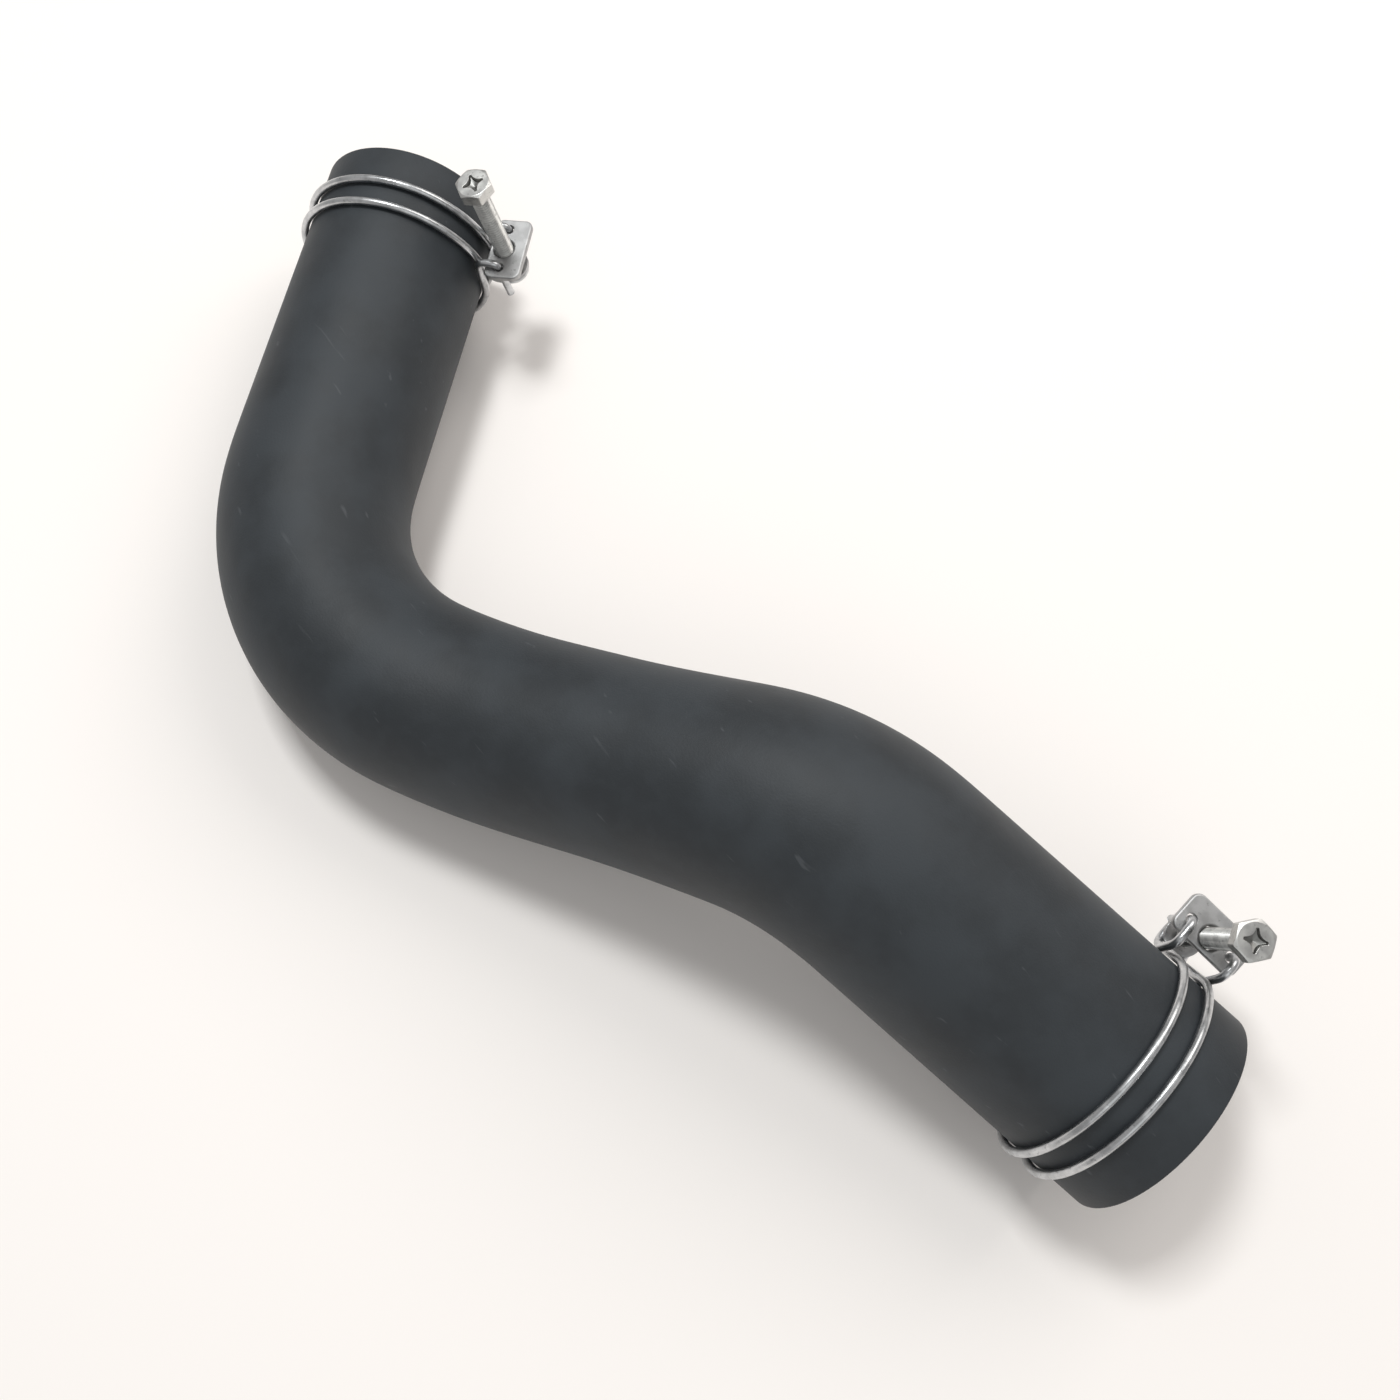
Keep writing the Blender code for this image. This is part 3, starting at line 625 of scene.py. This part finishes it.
def flat_fill(loops):
    """Triangles between an outline and the holes inside it, as numbers of the loops' points.

    The fill covers the holes too, so the triangles with all corners on one hole are left out.
    """
    edges, owner = [], []
    for number, loop in enumerate(loops):
        edges += [(len(owner) + k, len(owner) + (k + 1) % len(loop)) for k in range(len(loop))]
        owner += [number] * len(loop)
    points = [Vector(point) for loop in loops for point in loop.tolist()]
    inside_only = 1
    found = geometry.delaunay_2d_cdt(points, edges, [], inside_only, SAME_POINT)
    triangles, sources = found[2], found[3]
    faces = [[sources[k][0] for k in face] for face in triangles]
    return [face for face in faces if owner[face[0]] == 0 or len({owner[k] for k in face}) > 1]


def plate_mesh(name, clamp):
    """The plate: a smooth band of faces between the loops of each stack, and two flat faces."""
    work = bmesh.new()
    stacks = plate_loops()
    fronts, backs = [], []
    for stack in stacks:
        loops = np.stack([np.column_stack([loop[:, 0], np.full(len(loop), level), loop[:, 1]])
                          for loop, level in stack])
        loops = on_screw_line(clamp, loops @ turned(clamp["plate_turn"], 1).T)
        rings = [[work.verts.new(point) for point in row] for row in loops]
        for low, high in zip(rings, rings[1:]):
            for k in range(len(low)):
                work.faces.new((low[k - 1], low[k], high[k], high[k - 1])).smooth = True
        fronts += rings[0]
        backs += rings[-1]
    for rim, end in ((fronts, 0), (backs, -1)):
        for corners in flat_fill([stack[end][0] for stack in stacks]):
            work.faces.new([rim[k] for k in corners])
    bmesh.ops.recalc_face_normals(work, faces=work.faces)
    mesh = bpy.data.meshes.new(name)
    work.to_mesh(mesh)
    work.free()
    mesh.uv_layers.new(name="surface")
    return mesh


plate_steel = zinc_finish("clamp_plate_steel", dark=(0.42, 0.42, 0.42),
                          bright=(0.54, 0.54, 0.54), gloss=(0.42, 0.58), lines=1.0)
for end, clamp in clamps.items():
    finished_piece(end + "_plate", plate_mesh(end + "_plate", clamp), plate_steel, "hose",
                   "clamp_plate_steel", end + "_clamp_plate")


# Thrust cups
# A pressed steel cup that the screw's pilot turns in. The wire's U-bend lies round its body,
# under the flange, so that driving the screw pushes the U-bend away from the plate.
CUP_FLANGE_RADIUS = 5.6 * MM
CUP_FLOOR = 1.5 * MM
CUP_EDGE = 0.25 * MM
EDGE_REACH = 2.2
EDGE_SHARE = 0.45
EDGE_POINTS = 4
CUP_AXIS_GAP = 0.1 * MM
CUP_SIDES = 48
CUP_CHART = (20 * MM, 30 * MM)


def softened(profile, radius):
    """A profile with each inner corner replaced by a short quadratic curve.

    The curve starts and stops on the straight sides, at a share of the edge's reach or of the
    side's whole length, whichever is shorter.
    """
    parts = [profile[0][None]]
    share = np.linspace(0, 1, EDGE_POINTS)[:, None]
    for before, corner, after in zip(profile, profile[1:], profile[2:]):
        sides = [np.linalg.norm(before - corner), np.linalg.norm(after - corner)]
        reach = np.minimum(sides, EDGE_REACH * radius)
        start = corner + unit(before - corner) * reach[0] * EDGE_SHARE
        stop = corner + unit(after - corner) * reach[1] * EDGE_SHARE
        parts.append((1 - share) ** 2 * start + 2 * share * (1 - share) * corner + share**2 * stop)
    return np.concatenate(parts + [profile[-1][None]])


def turned_surface(profile, sides):
    """A profile of radius and distance turned about the second axis."""
    angle = round_angles(sides)[None, :]
    radius, along = profile[:, :1], profile[:, 1:]
    return np.stack([radius * np.cos(angle), along + 0 * angle, radius * np.sin(angle)], axis=-1)


cup_steel = zinc_finish("clamp_cup_steel", dark=(0.36, 0.36, 0.365), bright=(0.56, 0.56, 0.565),
                        gloss=(0.28, 0.5), lines=1.0)
cup_bottom = CUP_BORE_DEPTH + CUP_FLOOR
cup_profile = softened(np.array([
    (CUP_AXIS_GAP, CUP_BORE_DEPTH), (CUP_BORE_RADIUS, CUP_BORE_DEPTH), (CUP_BORE_RADIUS, 0),
    (CUP_FLANGE_RADIUS, 0), (CUP_FLANGE_RADIUS, CUP_FLANGE_THICKNESS),
    (CUP_BODY_RADIUS, CUP_FLANGE_THICKNESS), (CUP_BODY_RADIUS, cup_bottom),
    (CUP_AXIS_GAP, cup_bottom)]), CUP_EDGE)
for end, clamp in clamps.items():
    set_down = cup_profile + [0, clamp["cup_top_y"] - clamp["plate_y"]]
    cup_points = on_screw_line(clamp, turned_surface(set_down, CUP_SIDES))
    cup_mesh = grid_mesh(end + "_thrust_cup", cup_points, CUP_CHART, caps=True)
    finished_piece(end + "_thrust_cup", cup_mesh, cup_steel, "hose", "clamp_cup_steel",
                   end + "_clamp_thrust_cup")


# Clamp screws
# A steel machine screw: a hexagon head with a chamfered top and a cross recess, a coarse
# thread nearly up to the head, and a plain pilot at its tip that seats in the thrust cup.
HEAD_FLATS = 10.0 * MM
HEAD_HEIGHT = 4.2 * MM
HEAD_LAND = 0.94
HEAD_CHAMFER = math.radians(28)
HEAD_CORNER = 1.135
HEAD_FOOT_ROUND = 0.3 * MM
RECESS_REACH = 3.3 * MM
RECESS_DEPTH = 2.0 * MM
RECESS_SLOPE = 0.6
RECESS_TIP_HALF = 0.48 * MM
RECESS_FLARE = 2.0 * MM
RECESS_SOFT = 0.36 * MM
THREAD_RADIUS = 2.95 * MM
THREAD_DEPTH = 0.6 * MM
THREAD_PITCH = 1.0 * MM
THREAD_CREST = 0.1
THREAD_FLANK = 0.8
THREAD_START = 0.05 * MM
THREAD_FADE = 1.2 * MM
SHALLOW_THREAD = 0.15
THREAD_GROWTH = 0.85
TIP_TAPER = 1.0 * MM
TIP_TAPER_SHARES = (0.35, 0.65)
PILOT_LENGTH = 3.3 * MM
PILOT_END = ((0.0, 0.5 * MM), (0.1 * MM, 0.2 * MM), (0.45 * MM, 0.0))
PILOT_AXIS_GAP = 0.1 * MM
HEAD_AXIS_GAP = 0.08 * MM
SCREW_SIDES = 192
HEAD_TOP_ROWS = 60
HEAD_SIDE_ROWS = 5
THREAD_ROWS = 9
SCREW_CHART = (50 * MM, 18 * MM)
SCREW_SHARP_ANGLE = math.radians(50)
# Dirt and painted shade for the cross recess and the thread roots: the dark grey the screw's
# colour is mixed towards by how sunk each point is
SCREW_DIRT_AND_SHADE = (0.10, 0.10, 0.095)
DIRT_AND_SHADE_SHARE = 0.75
GROOVE_DIRT_AND_SHADE = 0.45


def screw_surface(length, sides, head_turn, recess_turn):
    """The whole screw as one sheet, from the middle of its head to the middle of its tip.

    The hexagon's radius at an angle is half its width over the cosine of the angle from the
    middle of the nearest flat. The recess is four wings whose half width grows inwards with
    the square of the distance from their tips. The thread's radius falls and rises once in
    each pitch, and the pattern climbs one pitch a turn. Also returns how sunk each point is,
    which the material uses to darken the recess and the thread roots as dirt and painted shade.
    """
    angle = round_angles(sides)
    flat = HEAD_FLATS / 2 / np.cos((angle - head_turn) % (math.pi / 3) - math.pi / 6)
    flat = np.minimum(flat, HEAD_FLATS / 2 * HEAD_CORNER)
    land = HEAD_FLATS / 2 * HEAD_LAND

    radius = np.linspace(HEAD_AXIS_GAP, land, HEAD_TOP_ROWS)[:, None] + 0 * angle
    x = np.abs(radius * np.cos(angle - recess_turn))
    y = np.abs(radius * np.sin(angle - recess_turn))
    half_x, half_y = [RECESS_TIP_HALF + RECESS_FLARE * np.clip(1 - v / RECESS_REACH, 0, 1) ** 2
                      for v in (x, y)]
    wing = np.maximum(smoothstep((half_x - y) / RECESS_SOFT),
                      smoothstep((half_y - x) / RECESS_SOFT))
    wing *= smoothstep((RECESS_REACH - radius) / RECESS_SOFT)
    depth = RECESS_DEPTH * (1 - RECESS_SLOPE * radius / RECESS_REACH)
    rows = [(radius, HEAD_HEIGHT - wing * depth)]
    # The recess wings take the full share of dirt and painted shade
    sunk = [wing]

    share = np.linspace(0, 1, HEAD_SIDE_ROWS + 1)[1:, None]
    foot = HEAD_FOOT_ROUND
    radius = land + (flat - land) * share
    rows.append((radius, HEAD_HEIGHT - (radius - land) * math.tan(HEAD_CHAMFER)))
    edge = rows[-1][1][-1]
    rows.append((flat + 0 * share, edge + (foot - edge) * share))
    rows.append((flat - foot * np.sin(share * math.pi / 2), foot * (1 - share) + 0 * angle))
    inner = flat - foot
    rows.append((inner + (THREAD_RADIUS - inner) * share, 0 * share + 0 * angle))
    sunk.append(np.zeros((4 * len(share), len(angle))))

    end = PILOT_LENGTH - length
    z = np.arange(-THREAD_START, end, -THREAD_PITCH / THREAD_ROWS)[:, None]
    phase = (z / THREAD_PITCH - angle / (2 * math.pi)) % 1.0
    groove = np.clip((np.abs(2 * phase - 1) - THREAD_CREST) / THREAD_FLANK, 0, 1)
    full = smoothstep(-z / THREAD_FADE) * THREAD_GROWTH + SHALLOW_THREAD
    radius = THREAD_RADIUS - THREAD_DEPTH * groove * full
    taper = TIP_TAPER_SHARES[0] + TIP_TAPER_SHARES[1] * smoothstep((z - end) / TIP_TAPER)
    radius = np.minimum(radius, PILOT_RADIUS + (THREAD_RADIUS - PILOT_RADIUS) * taper)
    rows.append((radius, z + 0 * angle))
    # The thread roots take part of the dirt and painted shade, by the depth of the groove
    sunk.append(GROOVE_DIRT_AND_SHADE * groove * full)

    pilot = np.array([(PILOT_RADIUS, end),
                      *((PILOT_RADIUS - inset, rise - length) for inset, rise in PILOT_END),
                      (PILOT_AXIS_GAP, -length)])
    rows.append((pilot[:, :1] + 0 * angle, pilot[:, 1:] + 0 * angle))
    sunk.append(np.zeros((len(pilot), len(angle))))
    radius = np.concatenate([row[0] for row in rows])
    height = np.concatenate([row[1] for row in rows])
    points = np.stack([radius * np.cos(angle), -height, radius * np.sin(angle)], axis=-1)
    return points, np.concatenate(sunk)


screw_steel = zinc_finish("clamp_screw_steel", dark=(0.48, 0.48, 0.47), bright=(0.66, 0.66, 0.64),
                          gloss=(0.30, 0.50), lines=1.0)
tree = screw_steel.node_tree
shader = tree.nodes["Principled BSDF"]
clean = shader.inputs["Base Color"].links[0].from_socket
# Dirt and painted shade: the base colour darkens in the recess and the thread roots by the sunk
# attribute
dirt_and_shade_mask = add_node(tree, "ShaderNodeAttribute", attribute_name="sunk").outputs["Fac"]
dirt_and_shade_colour = mixed(tree, span(tree, dirt_and_shade_mask, 0.0, DIRT_AND_SHADE_SHARE), clean, SCREW_DIRT_AND_SHADE)
tree.links.new(dirt_and_shade_colour, shader.inputs["Base Color"])
for end, clamp in clamps.items():
    screw_points, sunk = screw_surface(clamp["screw_length"], SCREW_SIDES, clamp["head_turn"],
                                       clamp["recess_turn"])
    screw_points = screw_points + [0, clamp["head_y"] - clamp["plate_y"], 0]
    screw_mesh = grid_mesh(end + "_screw", on_screw_line(clamp, screw_points), SCREW_CHART,
                           caps=True)
    screw_mesh.set_sharp_from_angle(angle=SCREW_SHARP_ANGLE)
    layer = screw_mesh.attributes.new("sunk", "FLOAT", "POINT")
    layer.data.foreach_set("value", sunk.astype(np.float32).ravel())
    finished_piece(end + "_screw", screw_mesh, screw_steel, end + "_screw", "clamp_screw_steel",
                   end + "_clamp_screw")


# Floor
# A plain warm-white sheet of paper, which shows the object's soft shadow. It lies just under
# the hose, so that the two surfaces don't share a plane.
FLOOR_COLOUR = (0.94, 0.90, 0.872)
FLOOR_HALF = 4.0
FLOOR_DROP = 0.2 * MM

floor_mesh = bpy.data.meshes.new("floor")
signs = np.array([(-1, -1, 0), (1, -1, 0), (1, 1, 0), (-1, 1, 0)])
floor_mesh.from_pydata((signs * FLOOR_HALF).tolist(), [], [(0, 1, 2, 3)])
floor = bpy.data.objects.new("floor", floor_mesh)
floor.location = (0, 0, -FLOOR_DROP)
bpy.context.scene.collection.objects.link(floor)
paper = bpy.data.materials.new("floor_paper")
paper.use_nodes = True
tree = paper.node_tree
shader = tree.nodes["Principled BSDF"]
shader.inputs["Base Color"].default_value = (*FLOOR_COLOUR, 1.0)
shader.inputs["Roughness"].default_value = 0.9
shader.inputs["Specular IOR Level"].default_value = 0.1
floor_mesh.materials.append(paper)


# Lights and camera
# A small bright softbox stands up and to the left, a large warm one up and to the right, and a
# weak one low in the picture. A plain pale sky fills the rest. The camera looks down from above
# the large-bore leg.
CAMERA_PLACE = (140.11 * MM, -75.08 * MM, 425.0 * MM)
CAMERA_TILT = math.radians(20.5)
CAMERA_TURN = math.radians(53.4266)
SENSOR_WIDTH = 36.0
PICTURE_WIDTH = 1400
FOCAL_PIXELS = 1450
NEAREST_VISIBLE = 10.0 * MM
SKY_COLOUR = (1.0, 0.99, 0.98, 1.0)
SKY_STRENGTH = 0.42


def add_softbox(name, picture_x, picture_y, height, size, power, colour):
    """A square lamp, placed along the picture's own right and up directions, facing the hose.

    Its places and its size are in metres and its power in watts.
    """
    lamp = bpy.data.lights.new(name, "AREA")
    lamp.energy = power
    lamp.size = size
    lamp.color = colour
    turn_cos, turn_sin = math.cos(CAMERA_TURN), math.sin(CAMERA_TURN)
    spot = np.array([picture_x * turn_cos - picture_y * turn_sin,
                     picture_x * turn_sin + picture_y * turn_cos, height])
    box = bpy.data.objects.new(name, lamp)
    box.location = spot
    away = unit(spot)
    box.rotation_euler = (math.acos(away[2]), 0, math.atan2(away[1], away[0]) + math.pi / 2)
    bpy.context.scene.collection.objects.link(box)


add_softbox("left_softbox", picture_x=-0.20, picture_y=0.38, height=1.25, size=0.28,
            power=8.7, colour=(0.98, 1.0, 1.0))
add_softbox("right_softbox", picture_x=0.75, picture_y=0.65, height=1.1, size=0.9,
            power=6.6, colour=(1.0, 0.96, 0.92))
add_softbox("low_softbox", picture_x=0.15, picture_y=-0.9, height=0.9, size=0.9,
            power=1.5, colour=(0.96, 1.0, 1.0))

world = bpy.data.worlds.new("studio")
bpy.context.scene.world = world
world.use_nodes = True
sky = world.node_tree.nodes["Background"]
sky.inputs["Color"].default_value = SKY_COLOUR
sky.inputs["Strength"].default_value = SKY_STRENGTH

lens = bpy.data.cameras.new("camera")
lens.sensor_width = SENSOR_WIDTH
lens.lens = SENSOR_WIDTH * FOCAL_PIXELS / PICTURE_WIDTH
lens.clip_start = NEAREST_VISIBLE
camera = bpy.data.objects.new("camera", lens)
camera.location = CAMERA_PLACE
camera.rotation_euler = (CAMERA_TILT, 0, CAMERA_TURN)
bpy.context.scene.collection.objects.link(camera)
bpy.context.scene.camera = camera
bpy.context.scene.view_settings.view_transform = "Standard"
